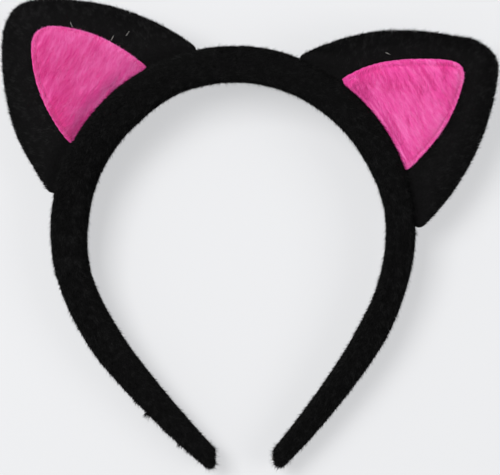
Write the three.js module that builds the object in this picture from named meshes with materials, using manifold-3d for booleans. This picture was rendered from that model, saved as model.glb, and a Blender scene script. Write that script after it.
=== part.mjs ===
// Cat ears headband: a sprung plastic band, padded with foam on its outer side and sleeved in
// short-pile plush, with two stuffed plush ears glued on. All sizes are in millimetres.
//
// Frame: the band stands as it is worn. +Z is up, +X is to the right as seen from the front, and
// the ears' coloured panels face -Y. The origin is the middle of the inner face at the crown,
// where the band rests on the head.

import * as THREE from "three";
import { mergeVertices } from "three/addons/utils/BufferGeometryUtils.js";
import Module from "manifold-3d";

const wasm = await Module();
wasm.setup();

// ---------------------------------------------------------------- driving dimensions

// The band's mid-line on each side: three tangent arcs from the crown to the tip.
const CROWN_RADIUS = 66.3;
const CROWN_SWEEP = 105;
const SHOULDER_RADIUS = 98;
const SHOULDER_SWEEP = 20;
const ARM_RADIUS = 320;
const ARM_LENGTH = 56;

// The band's section at the crown and at the tips.
const BAND_THICKNESS = 13.2;
const BAND_WIDTH = 19;
const TIP_THICKNESS = 7.2;
const TIP_WIDTH = 11.5;
const THICKNESS_TAPER_POWER = 2.7;
const WIDTH_TAPER_POWER = 1.8;

// Layers of the band, measured outwards from its inner face at the crown.
const PLUSH = 1.7;
const CORE_THICKNESS = 1.8;
const CORE_WIDTH = 13.5;
const SEAM_OFFSET = 5;
const SEAM_WIDTH = 1.4;

// The two places where the band flexes, as angles from the crown, and how far each arm opens.
const LEFT_FLEX_ANGLE = -6;
const RIGHT_FLEX_ANGLE = 18;
const CROWN_STEP = 4;
const ARM_OPENING = 15;

// The tips: how far the folded-in end of the sleeve reaches.
const TIP_FOLD_LENGTH = 4;
const ARM_STEPS = 26;

// The ears: where each stands on the band, and its outline above the middle of the crown arc.
const LEFT_EAR_ANGLE = -41;
const RIGHT_EAR_ANGLE = 58;
const EAR_HALF_BASE = 41;
const EAR_BASE_HEIGHT = 61;
const EAR_SIDE_BOW = new THREE.Vector2(35.7, 95.8);
const EAR_SHOULDER = new THREE.Vector2(9.5, 119.6);
const EAR_PEAK_CONTROL = 128.3;

// The coloured inner panel of an ear.
const INNER_HALF_BASE = 22.2;
const INNER_BASE_HEIGHT = 66;
const INNER_SIDE_BOW = new THREE.Vector2(20.8, 92);
const INNER_SHOULDER = new THREE.Vector2(7, 107.2);
const INNER_PEAK_CONTROL = 114.5;

// Layers of an ear, from its middle plane outwards.
const STIFFENER_THICKNESS = 1;
const WADDING_THICKNESS = 1.4;
const EAR_PLUSH = 2.2;
const INNER_PLUSH = 1.6;
const SEAM_ALLOWANCE = 3;
const THREAD_INSET = 1.8;
const THREAD_WIDTH = 0.8;

// The foot of an ear: a bead of glue on the sleeve, the hem that sits in it, and the play above.
const GLUE_HEIGHT = 1;
const GLUE_WIDTH = 11;
const HEM_HEIGHT = 1.4;
const HEM_WIDTH = 8.4;
const HEM_HALF_ANGLE = 32;

// Touching pieces keep this much air between them.
const GAP = 0.3;

// ---------------------------------------------------------------- materials

const blackPlush = new THREE.MeshStandardMaterial({ color: 0x161414, roughness: 0.95, metalness: 0 });
const pinkPlush = new THREE.MeshStandardMaterial({ color: 0xd9539a, roughness: 0.9, metalness: 0 });
const blackPlastic = new THREE.MeshStandardMaterial({ color: 0x26262a, roughness: 0.45, metalness: 0 });
const greyFoam = new THREE.MeshStandardMaterial({ color: 0x55565a, roughness: 1, metalness: 0 });
const whiteWadding = new THREE.MeshStandardMaterial({ color: 0xe9e7e2, roughness: 1, metalness: 0 });
const felt = new THREE.MeshStandardMaterial({ color: 0x2c2b2d, roughness: 1, metalness: 0 });
const thread = new THREE.MeshStandardMaterial({ color: 0xb8407f, roughness: 0.7, metalness: 0 });
const blackThread = new THREE.MeshStandardMaterial({ color: 0x0d0c0d, roughness: 0.7, metalness: 0 });
const hotGlue = new THREE.MeshStandardMaterial({ color: 0xcfc9b4, roughness: 0.3, metalness: 0 });

// ---------------------------------------------------------------- the band's line

const radians = THREE.MathUtils.degToRad;
const arcs = [
  { radius: CROWN_RADIUS, length: CROWN_RADIUS * radians(CROWN_SWEEP) },
  { radius: SHOULDER_RADIUS, length: SHOULDER_RADIUS * radians(SHOULDER_SWEEP) },
  { radius: ARM_RADIUS, length: ARM_LENGTH },
];
const HALF_LENGTH = arcs.reduce((sum, arc) => sum + arc.length, 0);
const RING_CENTRE_Z = BAND_THICKNESS / 2 - CROWN_RADIUS;

// A point of the mid-line at s along the band from the crown, positive to the right, and the
// outward direction there.
function bandPoint(s) {
  const side = s < 0 ? -1 : 1;
  let left = Math.abs(s);
  let x = 0;
  let z = BAND_THICKNESS / 2;
  let turned = 0;
  for (const [i, { radius, length }] of arcs.entries()) {
    const run = i === arcs.length - 1 ? left : Math.min(left, length);
    const next = turned + run / radius;
    x += radius * (Math.sin(next) - Math.sin(turned));
    z += radius * (Math.cos(next) - Math.cos(turned));
    turned = next;
    left -= run;
    if (left <= 0) break;
  }
  return {
    x: side * x,
    z,
    outX: side * Math.sin(turned),
    outZ: Math.cos(turned),
  };
}

const crownArc = (degrees) => CROWN_RADIUS * radians(degrees);
const taper = (s, tip, power) => 1 + (tip - 1) * Math.min(1, Math.abs(s) / HALF_LENGTH) ** power;
const thicknessAt = (s) => taper(s, TIP_THICKNESS / BAND_THICKNESS, THICKNESS_TAPER_POWER);
const widthAt = (s) => taper(s, TIP_WIDTH / BAND_WIDTH, WIDTH_TAPER_POWER);

// Sweeps an outline (u outwards from the inner face, v across the band) from sHigh to sLow, where
// sHigh is further to the right. Both ends may depend on u, and swell scales the outline about its
// middle along the way.
function sweepAlongBand(outline, sHigh, sLow, steps, swell = () => 1) {
  const geometry = new THREE.ExtrudeGeometry(new THREE.Shape(outline), {
    depth: 1,
    steps,
    bevelEnabled: false,
  });
  const position = geometry.attributes.position;
  for (let i = 0; i < position.count; i++) {
    const u = position.getX(i);
    const t = position.getZ(i);
    const s = THREE.MathUtils.lerp(sHigh(u), sLow(u), t);
    const point = bandPoint(s);
    const out = (u - BAND_THICKNESS / 2) * thicknessAt(s) * swell(t);
    const across = position.getY(i) * widthAt(s) * swell(t);
    position.setXYZ(i, point.x + out * point.outX, across, point.z + out * point.outZ);
  }
  geometry.computeVertexNormals();
  return geometry;
}

// ---------------------------------------------------------------- sections of the band

// The band's rounded D outline, set in by a distance, from the seam's near side round to its far
// side. The flat side is the inner face.
function roundedD(inset) {
  const corner = 2.6;
  const half = BAND_WIDTH / 2 - inset;
  const outer = BAND_THICKNESS - inset;
  const start = inset + corner;
  const path = new THREE.Path();
  path.moveTo(inset, SEAM_OFFSET - SEAM_WIDTH / 2 - GAP);
  path.lineTo(inset, corner - half);
  path.quadraticCurveTo(inset, -half, start, -half);
  path.bezierCurveTo(start + 0.68 * (outer - start), -half, outer, -0.66 * half, outer, 0);
  path.bezierCurveTo(outer, 0.66 * half, start + 0.68 * (outer - start), half, start, half);
  path.quadraticCurveTo(inset, half, inset, half - corner);
  path.lineTo(inset, SEAM_OFFSET + SEAM_WIDTH / 2 + GAP);
  return path.getPoints(3);
}

function sleeveSection() {
  return [...roundedD(0), ...roundedD(PLUSH).reverse()];
}

function coreSection() {
  const low = PLUSH + GAP;
  const high = low + CORE_THICKNESS;
  const half = CORE_WIDTH / 2;
  const edge = 0.6;
  return [
    [low, edge - half],
    [low + edge, -half],
    [high - edge, -half],
    [high, edge - half],
    [high, half - edge],
    [high - edge, half],
    [low + edge, half],
    [low, half - edge],
  ].map(([u, v]) => new THREE.Vector2(u, v));
}

// The foam lies on the core and fills the sleeve's dome.
function foamSection() {
  const low = PLUSH + CORE_THICKNESS + 2 * GAP;
  const high = BAND_THICKNESS - PLUSH - GAP;
  const half = BAND_WIDTH / 2 - PLUSH - GAP;
  const path = new THREE.Path();
  path.moveTo(low, -half + 0.6);
  path.bezierCurveTo(low + 0.62 * (high - low), -half + 0.6, high, -0.62 * half, high, 0);
  path.bezierCurveTo(high, 0.62 * half, low + 0.62 * (high - low), half - 0.6, low, half - 0.6);
  return path.getPoints(5);
}

// The whipped seam that closes the sleeve lies in the slit between its two edges.
function seamSection() {
  const half = SEAM_WIDTH / 2;
  return [
    [0, -half],
    [PLUSH, -half],
    [PLUSH, half],
    [0, half],
  ].map(([u, v]) => new THREE.Vector2(u, SEAM_OFFSET + v));
}

// ---------------------------------------------------------------- the ears' outlines

// A pointed arch: two bowed sides and a rounded peak.
function archOutline(halfBase, baseHeight, bow, shoulder, peakControl) {
  const path = new THREE.Path();
  path.moveTo(halfBase, baseHeight);
  path.quadraticCurveTo(bow.x, bow.y, shoulder.x, shoulder.y);
  path.quadraticCurveTo(0, peakControl, -shoulder.x, shoulder.y);
  path.quadraticCurveTo(-bow.x, bow.y, -halfBase, baseHeight);
  return path.getPoints(8);
}

const earOutline = () =>
  archOutline(EAR_HALF_BASE, EAR_BASE_HEIGHT, EAR_SIDE_BOW, EAR_SHOULDER, EAR_PEAK_CONTROL);
const innerOutline = () =>
  archOutline(
    INNER_HALF_BASE,
    INNER_BASE_HEIGHT,
    INNER_SIDE_BOW,
    INNER_SHOULDER,
    INNER_PEAK_CONTROL,
  );

// Moves every edge of an anticlockwise outline inwards by a distance.
function insetOutline(points, distance) {
  return points.map((point, i) => {
    const before = points.at(i - 1);
    const after = points[(i + 1) % points.length];
    const inward = (a, b) => {
      const along = b.clone().sub(a).normalize();
      return new THREE.Vector2(-along.y, along.x);
    };
    const first = inward(before, point);
    const second = inward(point, after);
    const mitre = first.clone().add(second).normalize();
    return point.clone().addScaledVector(mitre, distance / mitre.dot(first));
  });
}

// ---------------------------------------------------------------- solids for the ears

function toSolid(geometry) {
  const bare = geometry.clone();
  bare.deleteAttribute("normal");
  bare.deleteAttribute("uv");
  const merged = mergeVertices(bare, 1e-4);
  return new wasm.Manifold(
    new wasm.Mesh({
      numProp: 3,
      vertProperties: new Float32Array(merged.attributes.position.array),
      triVerts: new Uint32Array(merged.index.array),
    }),
  );
}

function toGeometry(solid) {
  const mesh = solid.getMesh();
  const geometry = new THREE.BufferGeometry();
  geometry.setAttribute("position", new THREE.BufferAttribute(mesh.vertProperties, 3));
  geometry.setIndex(new THREE.BufferAttribute(mesh.triVerts, 1));
  geometry.computeVertexNormals();
  return geometry;
}

// A flat layer of an ear between two depths; front is the lower Y.
function layer(outline, front, back) {
  const geometry = new THREE.ExtrudeGeometry(new THREE.Shape(outline), {
    depth: back - front,
    steps: 1,
    bevelEnabled: false,
  });
  geometry.rotateX(Math.PI / 2).translate(0, back, 0);
  return toSolid(geometry);
}

// The round bar that the foot of an ear is hollowed out to clear.
function bar(radius) {
  return toSolid(new THREE.CylinderGeometry(radius, radius, 60, 72));
}

// A strip that follows the band under an ear, between two radii.
function footStrip(innerRadius, outerRadius, width) {
  const outline = new THREE.Shape();
  const start = radians(90 - HEM_HALF_ANGLE);
  const end = radians(90 + HEM_HALF_ANGLE);
  outline.absarc(0, 0, outerRadius, start, end, false);
  outline.absarc(0, 0, innerRadius, end, start, true);
  return toGeometry(layer(outline.getPoints(14), -width / 2, width / 2));
}

// ---------------------------------------------------------------- assembly

const headband = new THREE.Group();

function add(parent, name, geometry, material) {
  const mesh = new THREE.Mesh(geometry, material);
  mesh.name = name;
  parent.add(mesh);
}

// The crown: the short stretch between the two places where the band flexes.
const crownHigh = crownArc(RIGHT_FLEX_ANGLE);
const crownLow = crownArc(LEFT_FLEX_ANGLE);
const crownSteps = (RIGHT_FLEX_ANGLE - LEFT_FLEX_ANGLE) / CROWN_STEP;
const sections = {
  core: [coreSection(), blackPlastic],
  foam: [foamSection(), greyFoam],
  sleeve: [sleeveSection(), blackPlush],
  seam: [seamSection(), blackThread],
};

for (const [piece, [section, material]] of Object.entries(sections)) {
  const geometry = sweepAlongBand(section, () => crownHigh, () => crownLow, crownSteps);
  add(headband, `crown_${piece}`, geometry, material);
}

// Each arm starts with a notch that widens outwards from the core, so that it can open.
const CORE_DEPTH = PLUSH + GAP + CORE_THICKNESS / 2;
const notch = (u) => GAP + Math.max(0, u - CORE_DEPTH) * Math.tan(radians(ARM_OPENING));
const tipStart = HALF_LENGTH - TIP_FOLD_LENGTH;

const arms = [
  { side: "right", flex: crownHigh, sign: 1 },
  { side: "left", flex: crownLow, sign: -1 },
];
for (const { side, flex, sign } of arms) {
  const root = (u) => flex + sign * notch(u);
  const end = () => sign * (tipStart - GAP);
  const [high, low] = sign > 0 ? [end, root] : [root, end];
  for (const [piece, [section, material]] of Object.entries(sections)) {
    add(headband, `${side}_arm_${piece}`, sweepAlongBand(section, high, low, ARM_STEPS), material);
  }

  // The sleeve's end is folded in over the tip and glued: a blunt, rounded cap.
  const near = () => sign * tipStart;
  const far = () => sign * HALF_LENGTH;
  const [foldHigh, foldLow] = sign > 0 ? [far, near] : [near, far];
  const outwards = (t) => (sign > 0 ? 1 - t : t);
  const rounding = (t) => Math.sqrt(1 - (0.8 * outwards(t)) ** 2);
  const fold = sweepAlongBand(roundedD(0), foldHigh, foldLow, 4, rounding);
  add(headband, `${side}_tip_fold`, fold, blackPlush);
}

// The ears stand on the band's outer face, each in its own group at the middle of the crown arc.
const BAND_TOP = CROWN_RADIUS + BAND_THICKNESS / 2;
const GLUE_TOP = BAND_TOP + GAP + GLUE_HEIGHT;
const HEM_TOP = GLUE_TOP + GAP + HEM_HEIGHT;
const EAR_TILT = 25;
const rise = (depth) => HEM_TOP + GAP + depth * Math.tan(radians(EAR_TILT));

const ears = [
  { side: "left", angle: LEFT_EAR_ANGLE },
  { side: "right", angle: RIGHT_EAR_ANGLE },
];
for (const { side, angle } of ears) {
  const ear = new THREE.Group();
  ear.position.set(0, 0, RING_CENTRE_Z);
  ear.rotation.y = radians(angle);
  headband.add(ear);
  const piece = (name, geometry, material) => add(ear, `${side}_ear_${name}`, geometry, material);

  piece("glue_bead", footStrip(BAND_TOP + GAP, GLUE_TOP, GLUE_WIDTH), hotGlue);
  piece("base_hem", footStrip(GLUE_TOP + GAP, HEM_TOP, HEM_WIDTH), blackPlush);

  // From the middle outwards: a felt stiffener, wadding on both sides, and the two panels.
  const outline = earOutline();
  const filling = insetOutline(outline, SEAM_ALLOWANCE + 2 * GAP);
  const board = STIFFENER_THICKNESS / 2;
  const waddingInner = board + GAP;
  const waddingOuter = waddingInner + WADDING_THICKNESS;
  const panelInner = waddingOuter + GAP;
  const panelOuter = panelInner + EAR_PLUSH;
  const innerBack = panelOuter + GAP;
  const innerFront = innerBack + INNER_PLUSH;
  const threadBack = innerFront + GAP;
  const threadFront = threadBack + THREAD_WIDTH / 2;

  const cut = (solid, depth) => toGeometry(solid.subtract(bar(rise(depth))));
  piece("stiffener", cut(layer(filling, -board, board), board), felt);
  piece("front_wadding", cut(layer(filling, -waddingOuter, -waddingInner), waddingOuter), whiteWadding);
  piece("back_wadding", cut(layer(filling, waddingInner, waddingOuter), waddingOuter), whiteWadding);
  piece("front_panel", cut(layer(outline, -panelOuter, -panelInner), panelOuter), blackPlush);
  piece("back_panel", cut(layer(outline, panelInner, panelOuter), panelOuter), blackPlush);

  // The two panels are sewn together round the edge; the turned allowance fills the gap there.
  const rim = layer(insetOutline(outline, GAP), -waddingOuter, waddingOuter);
  const pocket = layer(insetOutline(outline, SEAM_ALLOWANCE), -panelOuter, panelOuter);
  piece("seam_allowance", cut(rim.subtract(pocket), waddingOuter), blackPlush);

  // The coloured panel is stitched on to the front one, close to its edge.
  const inner = innerOutline();
  piece("inner_panel", cut(layer(inner, -innerFront, -innerBack), innerFront), pinkPlush);
  const threadOuter = layer(insetOutline(inner, THREAD_INSET), -threadFront, -threadBack);
  const threadInner = layer(insetOutline(inner, THREAD_INSET + THREAD_WIDTH), -threadFront - 1, 0);
  piece("inner_stitching", cut(threadOuter.subtract(threadInner), threadFront), thread);
}

export default headband;
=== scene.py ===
"""Looks for the cat ears headband: plush sleeve, plush ears, their pile, stitching and stuffing.

Every length is in millimetres until a mesh is finished, and in metres from then on.
"""

import math
import random

import bmesh
import bpy
from mathutils import Matrix, Vector, noise
from mathutils.bvhtree import BVHTree


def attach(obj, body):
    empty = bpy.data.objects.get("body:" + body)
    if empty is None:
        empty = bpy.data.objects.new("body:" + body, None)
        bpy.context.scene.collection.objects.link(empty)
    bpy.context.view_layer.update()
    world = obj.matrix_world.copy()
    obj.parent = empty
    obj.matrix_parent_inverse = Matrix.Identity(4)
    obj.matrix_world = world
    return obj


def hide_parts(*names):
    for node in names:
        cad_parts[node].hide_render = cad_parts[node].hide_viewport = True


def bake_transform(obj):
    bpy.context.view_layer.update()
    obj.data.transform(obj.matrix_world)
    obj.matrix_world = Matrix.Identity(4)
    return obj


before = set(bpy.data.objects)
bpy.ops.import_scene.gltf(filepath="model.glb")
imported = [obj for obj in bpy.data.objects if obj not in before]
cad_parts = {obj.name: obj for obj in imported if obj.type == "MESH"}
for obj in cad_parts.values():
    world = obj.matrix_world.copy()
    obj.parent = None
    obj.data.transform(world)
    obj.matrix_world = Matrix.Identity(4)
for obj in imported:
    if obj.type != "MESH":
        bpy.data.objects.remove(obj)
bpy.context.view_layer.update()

MM = 0.001

# ---------------------------------------------------------------- sizes, as the frame has them

# The band's mid-line on each side: (radius, degrees turned) of three tangent arcs.
BAND_ARCS = [(66.3, 105.0), (98.0, 20.0), (320.0, math.degrees(56 / 320))]
BAND_THICKNESS = 13.2
BAND_WIDTH = 19.0
TIP_THICKNESS = 7.2
TIP_WIDTH = 11.5
HALF_LENGTH = sum(radius * math.radians(turn) for radius, turn in BAND_ARCS)
RING_CENTRE_Z = BAND_THICKNESS / 2 - BAND_ARCS[0][0]
BAND_TOP = BAND_ARCS[0][0] + BAND_THICKNESS / 2
TIP_FOLD_LENGTH = 4.0
# Between the end of the core or foam and the folded tip.
FILLING_GAP = 0.3
SEAM_OFFSET = 5.0

# The sleeve is made in two halves that meet in the middle of the crown body.
FLEX_S = {side: BAND_ARCS[0][0] * math.radians(angle) for side, angle in (("left", -6), ("right", 18))}
MEETING_S = (FLEX_S["left"] + FLEX_S["right"]) / 2

EAR_ANGLE = {"left": -41.0, "right": 58.0}
EAR_DEPTH = 4.7
EAR_FOOT = BAND_TOP - 1.0
# (half base, base height, side bow, shoulder, peak control) of the two pointed arches.
EAR_ARCH = (41.0, 61.0, (35.7, 95.8), (9.5, 119.6), 128.3)
INNER_ARCH = (22.2, 66.0, (20.8, 92.0), (7.0, 107.2), 114.5)

SIDES = ("left", "right")
SIGN = {"left": -1, "right": 1}


# ---------------------------------------------------------------- small tools


def linear(hex_colour):
    """An sRGB hex colour as the linear RGBA that the shader sockets take."""
    channels = [int(hex_colour[i : i + 2], 16) / 255 for i in (1, 3, 5)]
    return [c / 12.92 if c <= 0.04045 else ((c + 0.055) / 1.055) ** 2.4 for c in channels] + [1.0]


def add_node(tree, kind, inputs=None, **settings):
    """Adds a node with its settings; each input is a plain value or the socket that feeds it."""
    made = tree.nodes.new(kind)
    for name, value in settings.items():
        setattr(made, name, value)
    for key, value in (inputs or {}).items():
        socket = made.inputs[key]
        if isinstance(value, bpy.types.NodeSocket):
            tree.links.new(value, socket)
        else:
            socket.default_value = value
    return made


def new_material(name):
    """An empty material and its node tree, with only the output node left."""
    material = bpy.data.materials.new(name)
    material.use_nodes = True
    tree = material.node_tree
    tree.nodes.clear()
    return material, tree


def in_order(bm):
    """Lists edges and faces by their corners, because a spin makes them in another order each run."""
    bm.verts.index_update()
    count = len(bm.verts)

    def corners(part):
        numbers = [vert.index for vert in part.verts]
        return min(numbers) * count + max(numbers)

    for parts in (bm.edges, bm.faces):
        parts.sort(key=corners)
        parts.index_update()


def to_object(bm, name):
    """Closes a bmesh off as an object at the origin."""
    mesh = bpy.data.meshes.new(name)
    bm.to_mesh(mesh)
    bm.free()
    made = bpy.data.objects.new(name, mesh)
    bpy.context.scene.collection.objects.link(made)
    return made


def settle(piece):
    """Applies every modifier on a piece to its mesh."""
    depsgraph = bpy.context.evaluated_depsgraph_get()
    mesh = bpy.data.meshes.new_from_object(piece.evaluated_get(depsgraph))
    piece.modifiers.clear()
    old = piece.data
    piece.data = mesh
    bpy.data.meshes.remove(old)
    mesh.name = piece.name
    return piece


def finish_piece(piece, material, smooth=True):
    """Gives a piece one material and its shading."""
    piece.data.materials.clear()
    piece.data.materials.append(material)
    for face in piece.data.polygons:
        face.use_smooth = smooth
    return piece


def to_metres(piece):
    piece.data.transform(Matrix.Scale(MM, 4))
    return piece


def copy_of(piece, name):
    made = bpy.data.objects.new(name, piece.data.copy())
    bpy.context.scene.collection.objects.link(made)
    return made


def shell(piece, thickness):
    """Gives a sheet its thickness, inwards from its face."""
    wall = piece.modifiers.new("wall", "SOLIDIFY")
    wall.thickness = thickness
    wall.offset = -1
    return settle(piece)


def ramp(value, start, end):
    """0 before start, 1 after end, and smooth between."""
    k = min(1.0, max(0.0, (value - start) / (end - start)))
    return k * k * (3 - 2 * k)


def signed_power(value, power):
    return math.copysign(abs(value) ** power, value)


# ---------------------------------------------------------------- the band's line


def band_point(s):
    """Mid-line point, outward direction and tip-ward direction at s mm from the crown."""
    side = -1 if s < 0 else 1
    left, x, z, turned = abs(s), 0.0, BAND_THICKNESS / 2, 0.0
    for i, (radius, turn) in enumerate(BAND_ARCS):
        last = i == len(BAND_ARCS) - 1
        run = left if last else min(left, radius * math.radians(turn))
        after = turned + run / radius
        x += radius * (math.sin(after) - math.sin(turned))
        z += radius * (math.cos(after) - math.cos(turned))
        turned, left = after, left - run
        if left <= 0:
            break
    out = Vector((side * math.sin(turned), 0, math.cos(turned)))
    along = Vector((side * math.cos(turned), 0, -math.sin(turned)))
    return Vector((side * x, 0, z)), out, along


def taper(s, tip, power):
    return 1 + (tip - 1) * min(1, abs(s) / HALF_LENGTH) ** power


def on_band(u, v, s):
    """Where a point goes that is u out from the inner face, v across and s along the band."""
    point, out, _ = band_point(s)
    lift = (u - BAND_THICKNESS / 2) * taper(s, TIP_THICKNESS / BAND_THICKNESS, 2.7)
    place = point + out * lift
    place.y = v * taper(s, TIP_WIDTH / BAND_WIDTH, 1.8)
    return place


def bend_to_band(bm):
    """Bends a straight piece, whose axes are out, across and minus along, on to the band."""
    for vert in bm.verts:
        vert.co = on_band(vert.co.x, vert.co.y, -vert.co.z)


def straight_tube(section, start, end, step, segments):
    """An open tube along -Z; section(angle) gives (out, across) of a point of its ring."""
    bm = bmesh.new()
    ring = bmesh.ops.create_circle(bm, cap_ends=False, radius=1, segments=segments)["verts"]
    for vert in ring:
        out, across = section(math.atan2(vert.co.y, vert.co.x))
        vert.co = (out, across, -start)
    steps = max(1, round(abs(end - start) / step))
    bmesh.ops.spin(
        bm,
        geom=list(bm.verts) + list(bm.edges),
        cent=(0, 0, 0),
        axis=(0, 0, 1),
        dvec=(0, 0, (start - end) / steps),
        angle=0,
        steps=steps,
        use_merge=False,
    )
    in_order(bm)
    bmesh.ops.remove_doubles(bm, verts=bm.verts, dist=1e-4)
    return bm


def rounded_ring(inner, outer, width, flat_power, dome_power, side_power):
    """A ring with a flat inner face and a domed outer one."""
    middle, half = (inner + outer) / 2, (outer - inner) / 2

    def section(angle):
        cosine, sine = math.cos(angle), math.sin(angle)
        power = dome_power if cosine > 0 else flat_power
        return middle + half * signed_power(cosine, power), width / 2 * signed_power(sine, side_power)

    return section


def close_ends(bm):
    """Caps the open rims of a tube and turns every face outwards."""
    rims = [edge for edge in bm.edges if edge.is_boundary]
    bmesh.ops.holes_fill(bm, edges=rims, sides=0)
    bmesh.ops.recalc_face_normals(bm, faces=bm.faces)


# ---------------------------------------------------------------- materials


def surface_noise(tree, grain, detail, roughness):
    """Noise fixed to the piece, its features about grain millimetres across."""
    place = add_node(tree, "ShaderNodeTexCoord").outputs["Object"]
    inputs = {"Vector": place, "Scale": 1 / (grain * MM), "Detail": detail, "Roughness": roughness}
    return add_node(tree, "ShaderNodeTexNoise", inputs).outputs["Fac"]


def two_tone(tree, mix, dark, light, dark_until, light_from):
    """A ramp from one colour to another."""
    shade = add_node(tree, "ShaderNodeValToRGB", {"Fac": mix})
    low, high = shade.color_ramp.elements
    low.color = linear(dark)
    high.color = linear(light)
    low.position = dark_until
    high.position = light_from
    return shade.outputs["Color"]


def relief(tree, height, strength, depth):
    """Bumps of a depth in millimetres."""
    inputs = {"Height": height, "Strength": strength, "Distance": depth * MM}
    return add_node(tree, "ShaderNodeBump", inputs).outputs["Normal"]


def between_values(tree, mix, low, high):
    inputs = {"Value": mix, "To Min": low, "To Max": high}
    return add_node(tree, "ShaderNodeMapRange", inputs).outputs["Result"]


def add_surface(tree, inputs):
    """The surface shader, joined to the material's output."""
    shader = add_node(tree, "ShaderNodeBsdfPrincipled", inputs)
    add_node(tree, "ShaderNodeOutputMaterial", {"Surface": shader.outputs["BSDF"]})


def plush_ground(name, dark, light, grain, gloss, sheen):
    """Knitted plush backing under its pile: matt, mottled by the roots of the tufts."""
    material, tree = new_material(name)
    tufts = surface_noise(tree, grain, 3.0, 0.6)
    add_surface(
        tree,
        {
            "Base Color": two_tone(tree, tufts, dark, light, 0.35, 0.7),
            "Roughness": between_values(tree, tufts, 0.85, 1.0),
            "Normal": relief(tree, tufts, 0.6, 0.5),
            "Sheen Weight": sheen,
            "Sheen Roughness": 0.5,
            "Specular IOR Level": gloss,
        },
    )
    return material


def pile_fibres(name, shades, roughness, gloss, sheen):
    """Crimped acrylic or polyester fibres: each shade is one tone that the dye took."""
    made = []
    for i, shade in enumerate(shades):
        material, tree = new_material(f"{name} {i + 1}")
        add_surface(
            tree,
            {
                "Base Color": linear(shade),
                "Roughness": roughness,
                "Sheen Weight": sheen,
                "Sheen Roughness": 0.4,
                "Specular IOR Level": gloss,
            },
        )
        made.append(material)
    return made


def grained(name, dark, light, grain, roughness, relief_depth, sheen=0.0, coat=0.0):
    """A material whose colour, gloss and relief all follow one fine grain."""
    material, tree = new_material(name)
    speckle = surface_noise(tree, grain, 4.0, 0.65)
    add_surface(
        tree,
        {
            "Base Color": two_tone(tree, speckle, dark, light, 0.3, 0.72),
            "Roughness": between_values(tree, speckle, roughness - 0.06, min(1, roughness + 0.06)),
            "Normal": relief(tree, speckle, 0.5, relief_depth),
            "Sheen Weight": sheen,
            "Coat Weight": coat,
        },
    )
    return material


# Black polyester plush, brushed: the backing is nearly black, the standing pile a little lighter.
BLACK_GROUND = plush_ground("black plush ground", "#040404", "#0b0a0b", grain=0.9, gloss=0.08, sheen=0.02)
BLACK_PILE = pile_fibres(
    "black plush pile", ["#010101", "#020202", "#070707", "#181818"], roughness=0.8, gloss=0.1, sheen=0.02
)
# Bright pink acrylic plush: longer, softer pile that shows its nap as lighter and deeper streaks.
PINK_GROUND = plush_ground("pink plush ground", "#c4307f", "#dc4a9a", grain=0.8, gloss=0.2, sheen=0.15)
PINK_PILE = pile_fibres(
    "pink plush pile",
    ["#e03f9a", "#e74ea5", "#eb5bae", "#ee6cb8", "#f282c5"],
    roughness=0.65,
    gloss=0.25,
    sheen=0.15,
)
# Spun polyester sewing thread: two-ply, so its tone changes every half millimetre.
PINK_THREAD = grained("pink sewing thread", "#c93c88", "#e961aa", 0.5, 0.6, 0.08, sheen=0.2)
BLACK_THREAD = grained("black sewing thread", "#0a090a", "#201e20", 0.5, 0.55, 0.08, sheen=0.2)
# Set hot-melt glue: milky amber, smooth and slightly lumpy.
HOT_GLUE = grained("set hot glue", "#b9ae8c", "#d8cfb2", 3.0, 0.28, 0.3, coat=0.3)
# The same glue where black pile has stuck in it: smoky grey.
MATTED_GLUE = grained("glue matted with pile", "#242322", "#6a6862", 0.8, 0.35, 0.3, coat=0.2)
# Injection-moulded polypropylene strip: black, satin, with a fine moulded grain.
BAND_PLASTIC = grained("moulded black polypropylene", "#121214", "#1d1d20", 0.6, 0.42, 0.03)
# Open-cell polyurethane foam: charcoal, with cells about a millimetre across.
BAND_FOAM = grained("charcoal foam", "#2b2c2f", "#55565a", 0.9, 0.95, 0.5)
# Carded polyester wadding: white, fibrous and soft.
WADDING = grained("white wadding", "#d5d2cb", "#f4f2ee", 1.6, 0.97, 0.8, sheen=0.2)
# Pressed wool-mix felt: dark, matt, with a short tangled surface.
FELT = grained("pressed dark felt", "#171618", "#2c2a2e", 1.1, 0.96, 0.4, sheen=0.2)


# ---------------------------------------------------------------- pile


# Drawn several times as thick as a real 0.03 mm fibre, so that a tuft shows as one.
FIBRE_WIDTH = 0.2
# Sheared fibres reach from this share of the full length, over this range.
SHEARED_SHORTEST = 0.6
SHEARED_RANGE = 0.45
# The higher, the fewer fibres the shears missed.
MISSED_RARITY = 14.0
# How far the tufts part across the nap, as a share of their jitter.
PARTING = 0.9
# Fibres to the square millimetre.
BLACK_DENSITY = 4.2
PINK_DENSITY = 26.0

# What brush() writes on a surface: which way the pile lies, how thickly and how long it grows,
# and how much paler it is, which on the pink ears is partly painted light.
PILE_FIELDS = {"nap": "FLOAT_VECTOR", "cover": "FLOAT", "reach": "FLOAT", "tint": "FLOAT"}


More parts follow.
